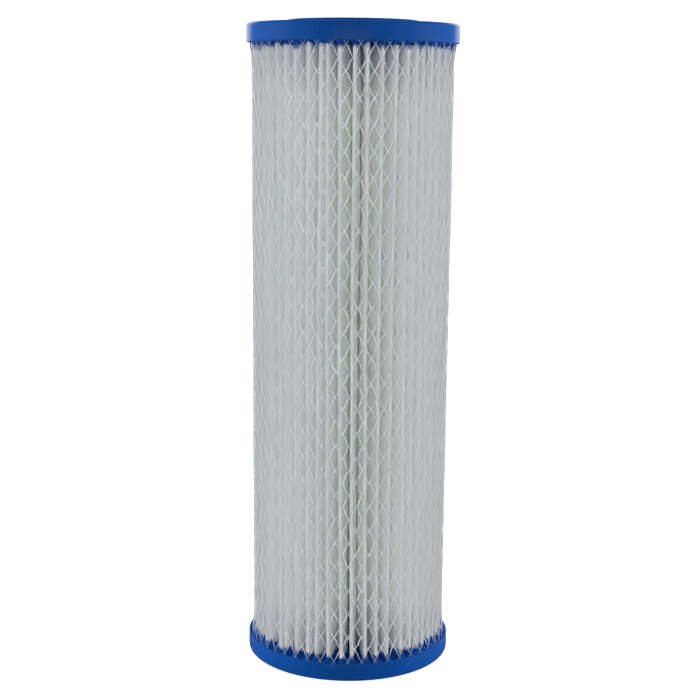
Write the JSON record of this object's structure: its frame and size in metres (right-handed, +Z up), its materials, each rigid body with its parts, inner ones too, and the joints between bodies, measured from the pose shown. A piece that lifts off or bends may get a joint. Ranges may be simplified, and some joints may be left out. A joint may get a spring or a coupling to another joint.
{
  "type": "pleated filter cartridge",
  "caption": "Pleated pool and spa filter cartridge: folded white media in a diamond-net sleeve, blue cast end caps with raised sealing rings, open centre bore.",
  "frame": {"origin": "centre of the lower sealing face, on which the cartridge stands", "axes": "+Z up along the cartridge's axis; +X through the side seam"},
  "size_m": [0.082, 0.082, 0.254],
  "materials": {
    "cap_plastisol": "cast soft PVC, satin",
    "core_plastic": "moulded polypropylene",
    "media_polyester": "calendered spunbonded polyester",
    "seam_glue": "hot-melt glue",
    "net_plastic": "extruded polyethylene net"
  },
  "bodies": {
    "root": {"bottom_end_cap": "cap_plastisol", "top_end_cap": "cap_plastisol", "core_tube": "core_plastic", "pleated_media": "media_polyester", "side_seam_bead": "seam_glue", "outer_net": "net_plastic"}
  },
  "joints": []
}
